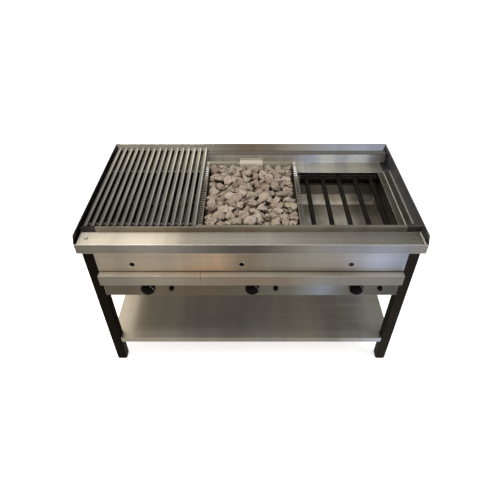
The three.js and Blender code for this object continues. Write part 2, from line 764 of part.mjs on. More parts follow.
// The spark unit: a collar in front of the panel, a neck through it, and the case behind.
function igniterBody(x) {
  const body = turned(
    [
      [0, 60], [8, 60], [11, 58], [11, 25.6], [7.4, 25.6], [7.4, 23.1], [9.8, 23.1],
      [9.8, 21.8], [0, 21.8],
    ],
    x, CONTROL_HEIGHT, 24,
  );
  return cut(body, [barBack(5.8, x, CONTROL_HEIGHT, [20, 48], 16)]);
}

function igniterButton(x) {
  return turned(
    [[0, 42], [5, 42], [5, 18.4], [8.6, 18.4], [8.6, 15.6], [7.4, 14.4], [0, 14]],
    x, CONTROL_HEIGHT, 24,
  );
}

for (const { name, x } of controlSpots) {
  place(`valve_stem_${name}`, "brass", valveStem(x + KNOB_OFFSET));
  place(`knob_${name}`, "plastic", knob(x + KNOB_OFFSET));
  place(`igniter_body_${name}`, "plastic", igniterBody(x + BUTTON_OFFSET));
  place(`igniter_button_${name}`, "plastic", igniterButton(x + BUTTON_OFFSET));
}

// ---------------------------------------------------------------- drip trays
// An open tray with a full-width box pull folded up in front of it.
function dripTray([pullLeft, pullRight], [boxLeft, boxRight]) {
  const wall = 1.25;
  const boxFront = FRONT_FACE + 2;
  const outside = block([boxLeft, boxRight], [boxFront, TRAY_REAR], [TRAY_FLOOR, TRAY_WALL_TOP]);
  const inside = block(
    [boxLeft + wall, boxRight - wall],
    [boxFront + wall, TRAY_REAR - wall],
    [TRAY_FLOOR + wall, TRAY_WALL_TOP + 1],
  );
  const weld = 0.5;
  const pull = folded(
    [
      [TRAY_FACE + 9, TRAY_BOTTOM], [TRAY_FACE, TRAY_BOTTOM], [TRAY_FACE, TRAY_TOP],
      [boxFront + weld, TRAY_TOP], [boxFront + weld, TRAY_FLOOR + 12],
    ],
    wall,
  );
  const ends = [pullLeft + weld, pullRight - weld - wall].map((x) =>
    block(
      [x, x + wall],
      [TRAY_FACE + weld, boxFront - weld],
      [TRAY_BOTTOM + weld, TRAY_TOP - weld],
    ),
  );
  return join([cut(outside, [inside]), drawnAcross(pull, [pullLeft, pullRight]), ...ends]);
}

const webGap = 4.5;
place(
  "drip_tray_left",
  "stainless",
  dripTray([-TRAY_HALF, TRAY_SPLIT - 0.75], [2 - TRAY_HALF, TRAY_SPLIT - webGap]),
);
place(
  "drip_tray_right",
  "stainless",
  dripTray([TRAY_SPLIT + 0.75, TRAY_HALF], [TRAY_SPLIT + webGap, TRAY_HALF - 2]),
);

const runnerSpan = [FRONT_FACE + 19, 600];
const runnerTop = TRAY_FLOOR - GAP;

function sideRunner(side) {
  const outer = legInner - 0.6;
  const bends = [[outer - 16, runnerTop - SHEET], [outer, runnerTop - SHEET], [outer, runnerTop + 28]];
  const sheet = folded(bends, -1.2).map(([x, z]) => [side * x, z]);
  return drawnBack(sheet, runnerSpan);
}

function middleRunner() {
  const foot = block([TRAY_SPLIT - 14, TRAY_SPLIT + 14], runnerSpan, [runnerTop - SHEET, runnerTop]);
  const web = block(
    [TRAY_SPLIT - SHEET / 2, TRAY_SPLIT + SHEET / 2],
    runnerSpan,
    [runnerTop - SHEET / 2, TRAY_WALL_TOP],
  );
  return join([foot, web]);
}

place("tray_runner_left", "stainless", sideRunner(LEFT));
place("tray_runner_middle", "stainless", middleRunner());
place("tray_runner_right", "stainless", sideRunner(RIGHT));

// ---------------------------------------------------------------- cooking grate
// Sixteen long bars, each with a shallow grease channel and a raised searing edge on its right.
function cookingGrate() {
  const middle = -BAY_PITCH;
  const base = REST_TOP + GAP;
  const half = BAR_WIDTH / 2;
  const rear = RAIL_BACK;
  const section = (x) => [
    [x - half, base], [x + half, base], [x + half, BAR_TOP - 3], [x + half - 2, BAR_TOP],
    [x + half - 5, BAR_TOP], [x + half - 7, BAR_TOP - 3.5], [x - half + 2, BAR_TOP - 4.5],
    [x - half, BAR_TOP - 6],
  ];
  const bars = Array.from({ length: BARS }, (_, i) => {
    const x = middle + (i - (BARS - 1) / 2) * BAR_PITCH;
    return drawnBack(section(x), [GRATE_FRONT, rear]);
  });
  const reach = ((BARS - 1) * BAR_PITCH) / 2 + half - 1;
  const across = [middle - reach, middle + reach];
  const ties = [
    block(across, [86, 97], [base + 1, BAR_TOP - 7]),
    block(across, [433, 444], [base + 1, BAR_TOP - 11]),
    block(across, [604, 616], [base + 1, BAR_TOP - 7]),
  ];
  const rearBevel = drawnAcross(
    [[rear - 14, BAR_TOP + 0.1], [rear + 1, BAR_TOP - 7], [rear + 1, BAR_TOP + 1]],
    [middle - reach - 5, middle + reach + 5],
  );
  return cut(join([...bars, ...ties]), [rearBevel]);
}

place("cooking_grate", "grate", cookingGrate());

// ---------------------------------------------------------------- lava rock basket
// A shallow tray with slotted side rims that rest over the bay, a slotted floor and a lift tab.
function rockBasket() {
  const base = HEARTH_TOP + GAP;
  const half = BASKET_HALF;
  const outside = block([-half, half], [BASKET_FRONT, BASKET_REAR], [base, BASKET_TOP - 1]);
  const inside = block(
    [SHEET - half, half - SHEET],
    [BASKET_FRONT + SHEET, BASKET_REAR - SHEET],
    [base + SHEET, BASKET_TOP + 1],
  );
  const rimHeight = [BASKET_TOP - SHEET, BASKET_TOP];
  const rimPlate = block([-BASKET_RIM, BASKET_RIM], [BASKET_FRONT - 2, BASKET_REAR + 9], rimHeight);
  const mouth = block(
    [1 - half, half - 1],
    [BASKET_FRONT + 1, BASKET_REAR - 1],
    [BASKET_TOP - 3, BASKET_TOP + 1],
  );
  const through = [BASKET_TOP - 3, BASKET_TOP + 1];
  const slots = [];
  const slotPitch = 15;
  const slotLength = 10.2;
  const slotCount = Math.floor((BASKET_REAR - BASKET_FRONT - 20) / slotPitch);
  for (let i = 0; i < slotCount; i += 1) {
    const d = BASKET_FRONT + 12 + i * slotPitch;
    for (const side of [LEFT, RIGHT]) {
      slots.push(
        block([side * (half + 2.2), side * (BASKET_RIM - 3)], [d, d + slotLength], through),
      );
    }
  }
  const floorSlots = Array.from({ length: 9 }, (_, i) => {
    const x = (i - 4) * 36;
    return block([x - 9, x + 9], [BASKET_FRONT + 55, BASKET_REAR - 45], [base - 1, base + 3]);
  });
  const tabFront = BASKET_REAR + 8;
  const tabBack = BASKET_REAR + 26;
  const tab = block([-49, 49], [tabFront, tabBack], [rimHeight[0] + LAP, BASKET_TOP - LAP]);
  const tabEdge = block([-48, 48], [tabBack - 2, tabBack - 0.5], [BASKET_TOP - 1, BASKET_TOP + 8]);
  const tabInside = block(
    [-49, 49],
    [BASKET_REAR - 2 * SHEET + LAP, BASKET_REAR - SHEET + LAP],
    [BASKET_TOP - 15, BASKET_TOP - LAP],
  );
  const rimEdges = [LEFT, RIGHT].map((side) =>
    block(
      [side * (BASKET_RIM - LAP - SHEET), side * (BASKET_RIM - LAP)],
      [BASKET_FRONT, BASKET_REAR],
      [BASKET_TOP - 6, BASKET_TOP - 1],
    ),
  );
  return join([
    cut(outside, [inside, ...floorSlots]),
    cut(rimPlate, [mouth, ...slots]),
    tab,
    tabEdge,
    tabInside,
    ...rimEdges,
  ]);
}

// The heap of lava rock as one mass, crowned in the middle.
function rockBed() {
  const halfAcross = BASKET_HALF - SHEET - 2;
  const span = [BASKET_FRONT + SHEET + 2, BASKET_REAR - SHEET - 2];
  const bottom = HEARTH_TOP + GAP + SHEET + 1;
  const edgeTop = BASKET_TOP - 9;
  const crown = 17;
  const bed = new THREE.BoxGeometry(2 * halfAcross, span[1] - span[0], edgeTop - bottom, 10, 12, 1);
  bed.translate(0, behind((span[0] + span[1]) / 2), (bottom + edgeTop) / 2);
  const spot = bed.attributes.position;
  for (let i = 0; i < spot.count; i += 1) {
    if (spot.getZ(i) < edgeTop - 1) continue;
    const across = spot.getX(i) / halfAcross;
    const back = (2 * (spot.getY(i) - behind(span[0]))) / (span[1] - span[0]) - 1;
    const lumps = 2.5 * Math.sin(7 * across + 2 * back) * Math.cos(8 * back - 3 * across);
    const swell = (1 - across ** 4) * (1 - back ** 4);
    spot.setZ(i, edgeTop + swell * (crown + lumps));
  }
  return solidOf(bed);
}

place("rock_basket", "stainless", rockBasket());
place("lava_rock_bed", "rock", rockBed());

export default grill;
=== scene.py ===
import json
import math

import bmesh
import bpy
import numpy as np
from mathutils import Matrix, Vector, noise


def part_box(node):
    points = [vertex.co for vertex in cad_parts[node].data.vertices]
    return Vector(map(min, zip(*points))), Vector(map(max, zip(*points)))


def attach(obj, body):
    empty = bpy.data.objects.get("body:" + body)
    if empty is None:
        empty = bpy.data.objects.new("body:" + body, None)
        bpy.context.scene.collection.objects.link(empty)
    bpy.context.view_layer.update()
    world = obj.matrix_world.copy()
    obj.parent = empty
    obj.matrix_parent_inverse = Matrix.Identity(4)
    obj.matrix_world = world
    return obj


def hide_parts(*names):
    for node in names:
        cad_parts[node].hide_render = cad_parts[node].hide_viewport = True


# A three-bay charbroiler. Everything is in metres, in the frame of the CAD model:
# +X to the cook's right, +Y from the front lip to the back, +Z up, the floor at 0.

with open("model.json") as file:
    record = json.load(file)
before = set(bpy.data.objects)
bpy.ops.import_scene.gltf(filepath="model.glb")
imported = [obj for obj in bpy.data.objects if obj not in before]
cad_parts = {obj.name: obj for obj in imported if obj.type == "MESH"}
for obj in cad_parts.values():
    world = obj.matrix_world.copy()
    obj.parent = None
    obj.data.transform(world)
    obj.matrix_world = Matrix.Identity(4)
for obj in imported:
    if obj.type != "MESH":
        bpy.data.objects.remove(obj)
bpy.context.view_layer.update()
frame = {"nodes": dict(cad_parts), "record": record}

BAYS = ("left", "middle", "right")
SEED = 7
HALF_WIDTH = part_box("side_splash_right")[1].x


# ---------------------------------------------------------------- materials
class Nodes:
    """A node tree, with short calls for the nodes used most."""

    def __init__(self, tree, place):
        self.tree = tree
        self.place = self.node("TexCoord").outputs[place]

    def node(self, kind, inputs=None, **settings):
        made = self.tree.nodes.new("ShaderNode" + kind)
        for key, value in settings.items():
            setattr(made, key, value)
        for key, value in (inputs or {}).items():
            self.feed(made.inputs[key], value)
        return made

    def feed(self, socket, value):
        if isinstance(value, bpy.types.NodeSocket):
            self.tree.links.new(value, socket)
        else:
            socket.default_value = value

    def noise(self, stretch, detail=3.0, roughness=0.55, distortion=0.0):
        """A noise whose features measure about 1 / stretch metres along each axis."""
        spot = self.node("Mapping", {"Vector": self.place, "Scale": stretch}).outputs[0]
        inputs = {"Vector": spot, "Scale": 1.0, "Detail": detail, "Roughness": roughness,
                  "Distortion": distortion}
        return self.node("TexNoise", inputs).outputs["Fac"]

    def cells(self, scale):
        """Distance to the nearest of many scattered points, `scale` of them to a metre."""
        return self.node("TexVoronoi", {"Vector": self.place, "Scale": scale}).outputs["Distance"]

    def ramp(self, value, stops):
        """A colour looked up by a value, from stops of (value, colour)."""
        made = self.node("ValToRGB", {"Fac": value})
        keys = made.color_ramp.elements
        while len(keys) < len(stops):
            keys.new(0.5)
        # The keys sort themselves by place, so every place is set before any colour.
        for key, (spot, colour) in zip(keys, stops):
            key.position = spot
        for key, (spot, colour) in zip(keys, stops):
            key.color = opaque(colour)
        return made.outputs["Color"]

    def span(self, value, low, high, to_low=0.0, to_high=1.0):
        """Maps low..high onto to_low..to_high and stops at both ends."""
        inputs = {"Value": value, "From Min": low, "From Max": high,
                  "To Min": to_low, "To Max": to_high}
        return self.node("MapRange", inputs).outputs["Result"]

    def band(self, value, low, high, soft):
        """One between two values and zero outside them, with soft ends."""
        return self.math("MULTIPLY", self.span(value, low, low + soft),
                         self.span(value, high, high - soft))

    def math(self, operation, a, b=0.0):
        made = self.node("Math", operation=operation)
        self.feed(made.inputs[0], a)
        self.feed(made.inputs[1], b)
        return made.outputs[0]

    def mix(self, a, b, amount, blend="MIX"):
        made = self.node("Mix", data_type="RGBA", blend_type=blend)
        self.feed(made.inputs["Factor"], amount)
        self.feed(made.inputs[6], a)
        self.feed(made.inputs[7], b)
        return made.outputs[2]

    def axis(self, letter):
        return self.node("SeparateXYZ", {"Vector": self.place}).outputs[letter]

    def along(self, letter, low, high, stops):
        """A colour that changes along one axis, from stops of (metres, colour)."""
        share = self.span(self.axis(letter), low, high)
        return self.ramp(share, [((spot - low) / (high - low), colour) for spot, colour in stops])


class Finish(Nodes):
    """A Principled material."""

    def __init__(self, name, roughness, metallic):
        self.material = bpy.data.materials.new(name)
        self.material.use_nodes = True
        super().__init__(self.material.node_tree, "Object")
        self.surface = self.tree.nodes["Principled BSDF"]
        self.set("Roughness", roughness)
        self.set("Metallic", metallic)

    def set(self, name, value):
        self.feed(self.surface.inputs[name], value)

    def source(self, name):
        """What feeds an input now."""
        return self.surface.inputs[name].links[0].from_socket

    def facing(self, letter):
        """How far the surface faces along an axis, from -1 to 1."""
        normal = self.node("NewGeometry").outputs["Normal"]
        return self.node("SeparateXYZ", {"Vector": normal}).outputs[letter]

    def darken(self, tint, value, dark, low=0.3, high=0.7):
        """Multiplies a tint by `dark` where a value is low and leaves it where it is high."""
        return self.mix(tint, self.ramp(value, [(low, dark), (high, grey(1.0))]), 1.0, "MULTIPLY")

    def round_edges(self, radius):
        """Shades each edge as if it were rounded, and gives back where those edges are."""
        rounded = self.node("Bevel", {"Radius": radius}, samples=6).outputs[0]
        self.set("Normal", rounded)
        plain = self.node("NewGeometry").outputs["Normal"]
        same = self.node("VectorMath", {0: rounded, 1: plain}, operation="DOT_PRODUCT")
        return self.span(same.outputs["Value"], 0.985, 0.86)

    def relief(self, height, depth, strength=1.0):
        """Adds a bump on top of the normal so far."""
        inputs = {"Height": height, "Distance": depth, "Strength": strength}
        if self.surface.inputs["Normal"].is_linked:
            inputs["Normal"] = self.source("Normal")
        self.set("Normal", self.node("Bump", inputs).outputs["Normal"])


def grey(value):
    return (value, value, value)


def opaque(colour):
    return (*colour, 1.0)


def tone(colour, share):
    return tuple(channel * share for channel in colour)


def across(nodes, stops):
    """A colour that changes along X, from stops of (share of the half width, colour)."""
    stops = [(spot * HALF_WIDTH, colour) for spot, colour in stops]
    return nodes.along("X", -HALF_WIDTH, HALF_WIDTH, stops)


# For each grain direction: the stretch of the fine scratches, the stretch of the broad ones
# and the tangent across them, along which the highlights spread.
GRAIN = {
    "X": ((3, 700, 700), (0.9, 70, 70), (0.0, 0.7, 0.7)),
    "Y": ((700, 3, 700), (70, 0.9, 70), (0.7, 0.0, 0.7)),
}


def brushed(name, tops, sides=None, roughness=0.36, grain="X", stain=0.0, metallic=1.0,
            edge=0.6, fold=0.0016, bands=0.8):
    """Brushed sheet: tints along X for level faces and for upright faces, under a stretched grain.
    The tints along X are painted reflections and painted shade, and level faces are tinted
    apart from upright ones as painted light.

    Its folds carry a painted highlight in the grey `edge` over a width of `fold`, and `bands`
    is the darkest of the soft bands of painted reflection that run across the grain.
    """
    finish = Finish(name, roughness, metallic)
    # Painted reflections and painted shade: tints that change along X, one set for level faces and
    # one for upright faces.
    tint = across(finish, tops)
    if sides:
        level = finish.span(finish.math("ABSOLUTE", finish.facing("Z")), 0.45, 0.75)
        tint = finish.mix(across(finish, sides), tint, level)
    thin, wide, pull = GRAIN[grain]
    fine = finish.noise(thin, detail=4.0, roughness=0.7)
    broad = finish.noise(wide, detail=3.0)
    cloud = finish.noise((5, 6, 6), detail=5.0, distortion=0.6)
    soft = finish.noise((7, 0.6, 0.6), detail=3.0)
    tint = finish.darken(tint, fine, grey(0.84))
    tint = finish.darken(tint, broad, grey(0.88))
    # Painted reflection: soft bands across the grain, darkened down to `bands`.
    tint = finish.darken(tint, soft, grey(bands), 0.35, 0.6)
    if stain:
        brown = finish.ramp(cloud, [(0.40, (0.42, 0.33, 0.24)), (0.62, grey(1.0))])
        tint = finish.mix(tint, brown, stain, "MULTIPLY")
    # Painted highlight along the folds, in the grey `edge`.
    fold_highlight = finish.round_edges(fold)
    tint = finish.mix(tint, opaque(tone(FOLD_HIGHLIGHT, edge)), fold_highlight)
    finish.set("Base Color", tint)
    uneven = finish.math("ADD", finish.span(broad, 0.3, 0.7, -0.05, 0.05),
                         finish.span(cloud, 0.3, 0.7, -0.05, 0.06))
    finish.set("Roughness", finish.math("ADD", uneven, roughness))
    finish.set("Anisotropic", 0.7)
    finish.set("Tangent", finish.node("CombineXYZ", dict(zip("XYZ", pull))).outputs[0])
    finish.relief(fine, 0.00004, 0.5)
    return finish


# Tints of the painted reflections and painted shade on the stainless sheet: neutral ones from
# bright to dark, then warm and cool ones.
CREAM = (0.80, 0.73, 0.61)
BEIGE = (0.50, 0.45, 0.37)
PLAIN = (0.40, 0.38, 0.34)
OLIVE = (0.27, 0.26, 0.21)
SMOKE = (0.20, 0.18, 0.155)
AMBER = (0.48, 0.38, 0.28)
AMBER_SHADE = (0.26, 0.20, 0.145)
COOL = (0.46, 0.48, 0.54)
# The tint of the painted highlight on a fold, before its brightness.
FOLD_HIGHLIGHT = (1.0, 0.97, 0.92)


def ledge_steel():
    # Painted reflections: cream on the left, duller grey across the middle, olive on the right,
    # with a strong painted highlight on the lip's fold.
    return brushed(
        "ledge_steel",
        [(-1.0, tone(CREAM, 0.52)), (-0.5, tone(CREAM, 0.52)), (-0.36, tone(BEIGE, 0.5)),
         (-0.1, tone(PLAIN, 0.7)), (0.1, tone(PLAIN, 0.8)), (0.35, tone(PLAIN, 0.65)),
         (1.0, tone(OLIVE, 0.6))],
        [(-1.0, OLIVE), (-0.5, PLAIN), (-0.1, tone(SMOKE, 0.8)), (0.05, tone(SMOKE, 0.8)),
         (0.35, PLAIN), (0.75, COOL), (1.0, PLAIN)],
        roughness=0.5,
        metallic=0.7,
        edge=0.95,
        fold=0.003,
    )


def panel_steel():
    # Painted reflections along the front panel: beige, with a warm amber patch left of the middle
    # and cool grey on the right.
    return brushed(
        "panel_steel",
        [(-1.0, BEIGE), (1.0, BEIGE)],
        [(-1.0, BEIGE), (-0.5, tone(BEIGE, 1.25)), (-0.2, (0.86, 0.65, 0.46)),
         (-0.08, (0.50, 0.41, 0.31)), (0.0, (0.45, 0.37, 0.29)), (0.08, tone(BEIGE, 0.9)),
         (0.5, tone(BEIGE, 1.1)), (0.75, (0.72, 0.75, 0.84)), (1.0, COOL)],
    )


def control_steel():
    # Painted shade: the control panel, under the tray fronts, is tinted dark, with painted
    # reflections that change along X.
    return brushed(
        "control_steel",
        [(-1.0, SMOKE), (1.0, SMOKE)],
        [(-1.0, tone(OLIVE, 0.65)), (-0.3, AMBER_SHADE), (0.0, tone(OLIVE, 0.8)), (0.25, OLIVE),
         (0.45, COOL), (0.6, OLIVE), (0.8, tone(OLIVE, 0.7)), (1.0, tone(OLIVE, 0.6))],
    )


def shelf_steel():
    # Painted reflections along the undershelf: pale on the left, duller in the middle, cool at the
    # right end of its upright faces.
    return brushed(
        "shelf_steel",
        [(-1.0, BEIGE), (-0.75, BEIGE), (-0.42, PLAIN), (0.0, PLAIN), (0.4, BEIGE),
         (0.8, PLAIN), (1.0, OLIVE)],
        [(-1.0, tone(BEIGE, 1.2)), (0.1, PLAIN), (0.6, BEIGE), (1.0, (0.80, 0.82, 0.92))],
        roughness=0.46,
        metallic=0.85,
        edge=0.8,
    )


def side_steel(name, tint):
    """The splashes and side panels, brushed from front to back."""
    return brushed(name, [(-1.0, tint), (1.0, tint)], roughness=0.34, grain="Y", edge=0.3)


def back_steel():
    """The leaning backsplash is close to a mirror along its length; its tints along X are painted
    reflections, warm and shaded in the middle, cool on the right.
    """
    tints = [(-1.0, PLAIN), (-0.3, PLAIN), (0.0, AMBER_SHADE), (0.3, PLAIN), (0.6, COOL),
             (1.0, COOL)]
    return brushed("back_steel", tints, tints, roughness=0.1)


def rail_steel():
    """The deck and rail carry painted reflections, bright and cool towards the right, with a light
    stain and streaked painted reflection bands; painted shade lies on the rail's top edge and, near
    black, below the deck.
    """
    finish = brushed(
        "rail_steel",
        [(-1.0, OLIVE), (0.1, OLIVE), (0.4, PLAIN), (0.8, OLIVE), (1.0, SMOKE)],
        [(-1.0, BEIGE), (-0.1, CREAM), (0.1, tone(BEIGE, 1.3)), (0.3, tone(PLAIN, 1.25)),
         (0.42, (0.70, 0.74, 0.84)), (0.55, (0.94, 0.97, 1.0)), (0.85, (0.90, 0.94, 1.0)),
         (0.97, tone(PLAIN, 1.1)), (1.0, SMOKE)],
        roughness=0.3,
        stain=0.15,
        metallic=0.3,
        edge=0.9,
    )
    reflected_tint = finish.source("Base Color")
    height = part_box("rear_rail")[1].z
    top = finish.span(finish.axis("Z"), height - 0.004, height - 0.003)
    # Painted reflection: streaks across the rail's face.
    streaks = finish.noise((26, 0.5, 0.5), detail=3.0)
    reflected_tint = finish.darken(reflected_tint, streaks, (0.80, 0.82, 0.88), 0.36, 0.56)
    # Painted shade along the rail's top edge.
    shade = finish.mix(reflected_tint, opaque(tone(SMOKE, 0.5)), top)
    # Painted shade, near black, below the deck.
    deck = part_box("firebox")[1].z - 0.003
    under = finish.span(finish.axis("Z"), deck - 0.0018, deck - 0.0024)
    finish.set("Base Color", finish.mix(shade, opaque((0.02, 0.017, 0.014)), under))
    return finish


def riser_steel():
    """The riser behind the ledge is stained brown from the fire of the grates, under painted
    reflections and painted shade that change along X, darkest at the left of its top.
    """
    return brushed(
        "riser_steel",
        [(-1.0, tone(SMOKE, 0.6)), (-0.35, SMOKE), (0.0, OLIVE), (1.0, OLIVE)],
        [(-1.0, PLAIN), (-0.4, BEIGE), (0.0, AMBER), (0.3, BEIGE), (1.0, OLIVE)],
        roughness=0.4,
        stain=0.4,
        edge=0.25,
    )


def hearth_steel(name, lip_height):
    """Heat-blackened side walls painted darker still as shade, a rear wall painted paler as light,
    and a painted highlight along the edge above the given height.
    """
    finish = brushed(
        name,
        [(-1.0, SMOKE), (0.0, SMOKE), (1.0, tone(OLIVE, 0.6))],
        [(-1.0, tone(SMOKE, 0.5)), (1.0, tone(SMOKE, 0.5))],
        roughness=0.4,
        stain=0.5,
        edge=0.7,
    )
    dark = finish.source("Base Color")
    # Painted light: the rear wall, facing forward, is tinted paler.
    rear = finish.span(finish.facing("Y"), -0.6, -0.8)
    # Painted highlight along the top edge, above the given height.
    lip = finish.span(finish.axis("Z"), lip_height, lip_height + 0.0003)
    pale = finish.mix(dark, opaque(tone(PLAIN, 0.9)), rear)
    finish.set("Base Color", finish.mix(pale, opaque((0.85, 0.84, 0.80)), lip))
    return finish


def tray_steel():
    """The tray fronts carry painted reflections that change along X; their floors are fat-stained
    under painted light, darkening before a rear wall with a painted highlight, and painted shade
    towards the right.
    """
    # Painted reflections on the tray fronts: cream, with an amber patch left of the middle.
    finish = brushed(
        "tray_steel",
        [(-1.0, CREAM), (-0.35, tone(AMBER, 1.8)), (0.0, CREAM), (0.5, BEIGE),
         (1.0, tone(CREAM, 0.8))],
        [(-1.0, OLIVE), (-0.5, tone(BEIGE, 0.9)), (-0.1, tone(AMBER, 0.85)),
         (0.2, tone(AMBER, 0.75)), (0.4, PLAIN), (1.0, tone(BEIGE, 0.7))],
        metallic=0.6,
        edge=0.85,
    )
    reflected_tint = finish.source("Base Color")
    low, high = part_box("drip_tray_right")
    rear_wall = high.y - 0.026
    bright = (0.95, 0.90, 0.80)
    # Painted light on the floors: darkening before the rear wall, and a painted highlight on the
    # wall itself.
    floor = finish.along("Y", low.y, high.y, [
        (low.y + 0.10, tone(PLAIN, 0.7)), (rear_wall - 0.11, PLAIN),
        (rear_wall - 0.07, tone(OLIVE, 0.9)), (rear_wall - 0.006, SMOKE), (rear_wall, bright),
        (high.y, bright)])
    shaded = finish.along("X", 0.0, HALF_WIDTH, [
        (0.0, grey(1.0)), (0.43, grey(1.0)), (0.47, grey(0.46)), (HALF_WIDTH, grey(0.34))])
    floor = finish.mix(floor, shaded, 1.0, "MULTIPLY")
    blot = finish.noise((16, 12, 12), detail=5.0, distortion=0.5)
    floor = finish.darken(floor, blot, (0.72, 0.67, 0.6), 0.35, 0.6)
    inside = finish.span(finish.axis("Y"), low.y + 0.03, low.y + 0.035)
    finish.set("Metallic", finish.span(inside, 0.0, 1.0, 0.6, 0.15))
    finish.set("Base Color", finish.mix(reflected_tint, floor, inside))
    return finish


def basket_steel():
    """Heat-darkened sheet, with painted highlights on the rear rungs and the rear edge, painted
    light on the upright rear wall and the plate before the lift tab, and a paler lift tab.
    """
    finish = brushed("basket_steel", [(-1.0, OLIVE), (1.0, OLIVE)], roughness=0.36, stain=0.6,
                     edge=0.4)
    low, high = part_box("rock_basket")
    rim_end = high.y - 0.017
    rim_top = high.z - 0.0105
    rung_inner, rung_outer = high.x - 0.0145, high.x - 0.0025
    tab_half = 0.050
    side = finish.math("ABSOLUTE", finish.axis("X"))
    depth = finish.axis("Y")
    on_top = finish.span(finish.axis("Z"), rim_top, rim_top + 0.0005)
    upright = finish.span(finish.facing("Y"), -0.6, -0.8)

    # Painted highlights: a glint on the rear rungs and a bright line along the rear edge.
    rungs = finish.math("MULTIPLY", finish.band(side, rung_inner, rung_outer, 0.001), on_top)
    glint = finish.math("MULTIPLY", rungs, finish.span(depth, rim_end - 0.14, rim_end - 0.10))
    edge = finish.math("MULTIPLY", on_top, finish.span(depth, rim_end - 0.0045, rim_end - 0.004))
    # Painted light: the upright rear wall is paler.
    wall = finish.math("MULTIPLY", upright, finish.span(depth, rim_end - 0.020, rim_end - 0.018))
    plate = finish.math("MULTIPLY", finish.span(side, tab_half, tab_half - 0.001),
                        finish.band(depth, rim_end - 0.0125, rim_end + 0.0010, 0.0005))
    tab = finish.span(depth, rim_end + 0.0005, rim_end + 0.0010)

    highlight_tint = finish.along("Y", low.y, high.y, [
        (low.y, tone(SMOKE, 0.9)), (rim_end - 0.20, SMOKE), (rim_end - 0.13, BEIGE),
        (rim_end - 0.10, grey(1.0)), (rim_end - 0.05, grey(1.0)), (rim_end - 0.03, BEIGE),
        (rim_end, OLIVE)])
    # Painted light: the upright faces of the plate before the tab are paler.
    plate_tint = finish.mix(opaque(tone(CREAM, 0.5)), opaque((0.80, 0.75, 0.64)), upright)
    pale = opaque(tone(BEIGE, 0.8))
    tint = finish.source("Base Color")
    for colour, share in ((highlight_tint, rungs), (opaque(BEIGE), edge), (pale, wall),
                          (plate_tint, plate), (pale, tab)):
        tint = finish.mix(tint, colour, share)
    finish.set("Base Color", tint)
    matt = finish.math("MAXIMUM", finish.math("MAXIMUM", wall, plate),
                       finish.math("MAXIMUM", glint, tab))
    finish.set("Metallic", finish.span(matt, 0.0, 1.0, 1.0, 0.25))
    return finish


def grate_steel():
    """Seasoned bars: dark and cloudy; the searing crest is rubbed bare and painted paler as a
    highlight, with a painted sheen towards the back and the right and painted shade on the bars'
    sides and ends.
    """
    finish = Finish("grate_steel", 0.4, 0.9)
    low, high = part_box("cooking_grate")
    cloud = finish.noise((14, 5, 14), detail=5.0, distortion=0.4)
    scrape = finish.noise((260, 6, 260), detail=3.0, roughness=0.7)
    seasoned = finish.ramp(cloud, [(0.3, (0.2, 0.195, 0.175)), (0.7, (0.34, 0.33, 0.30))])
    highlight_tint = finish.ramp(cloud, [(0.3, (0.64, 0.65, 0.61)), (0.7, (0.97, 0.98, 0.92))])
    # The searing crest is rubbed bare and painted paler there as a highlight.
    crest = finish.span(finish.axis("Z"), high.z - 0.0036, high.z - 0.0008)
    tint = finish.mix(seasoned, highlight_tint, crest)
    length = high.y - low.y
    # Painted light: darker towards the front, with a painted sheen towards the back.
    rear_sheen = finish.along("Y", low.y, high.y, [
        (low.y, grey(0.3)), (low.y + 0.25 * length, grey(0.44)),
        (low.y + 0.55 * length, grey(0.66)),
        (low.y + 0.84 * length, (1.08, 1.05, 0.95)), (high.y, grey(0.95))])
    # Painted light: the grate is darker on the left and lighter on the right.
    middle = low.x + 0.5 * (high.x - low.x)
    share = finish.along("X", low.x, high.x, [
        (low.x, grey(0.74)), (middle, grey(0.92)), (high.x, grey(1.15))])
    tint = finish.mix(tint, rear_sheen, 1.0, "MULTIPLY")
    tint = finish.mix(tint, share, 1.0, "MULTIPLY")
    # Painted shade: the bars' sides are darkened, their front and back ends darker still.
    upright = finish.span(finish.facing("Z"), 0.2, 0.6)
    dark = finish.mix(tint, opaque(grey(0.3)), 1.0, "MULTIPLY")
    ends = finish.span(finish.facing("Y"), -0.6, -0.8)
    dark = finish.mix(dark, opaque((0.17, 0.145, 0.12)), ends)
    tint = finish.mix(dark, tint, upright)
    tint = finish.darken(tint, scrape, grey(0.7))
    finish.set("Base Color", tint)
    finish.set("Roughness", finish.span(cloud, 0.3, 0.7, 0.48, 0.32))
    finish.relief(scrape, 0.0001, 0.6)
    finish.relief(finish.noise((120, 120, 120), detail=4.0), 0.0003, 0.4)
    return finish


def burner_iron():
    """Oxidised casting: near black, with a thin brown bloom."""
    finish = Finish("burner_iron", 0.5, 0.0)
    finish.set("Specular IOR Level", 0.06)
    scale = finish.noise((35, 35, 35), detail=6.0, roughness=0.65)
    tint = finish.ramp(scale, [(0.3, (0.003, 0.0022, 0.0016)), (0.55, (0.007, 0.0055, 0.004)),
                               (0.75, (0.018, 0.0135, 0.009))])
    finish.set("Base Color", tint)
    finish.set("Roughness", finish.span(scale, 0.3, 0.7, 0.38, 0.65))
    finish.relief(finish.noise((400, 400, 400), detail=5.0), 0.0004, 0.5)
    finish.relief(scale, 0.0012, 0.5)
    return finish


def dark_steel():
    finish = Finish("dark_steel", 0.5, 0.8)
    scale = finish.noise((60, 60, 60), detail=5.0)
    tint = finish.ramp(scale, [(0.3, (0.04, 0.037, 0.034)), (0.7, (0.10, 0.09, 0.08))])
    finish.set("Base Color", tint)
    finish.set("Roughness", finish.span(scale, 0.3, 0.7, 0.4, 0.6))
    finish.relief(scale, 0.0003, 0.4)
    return finish


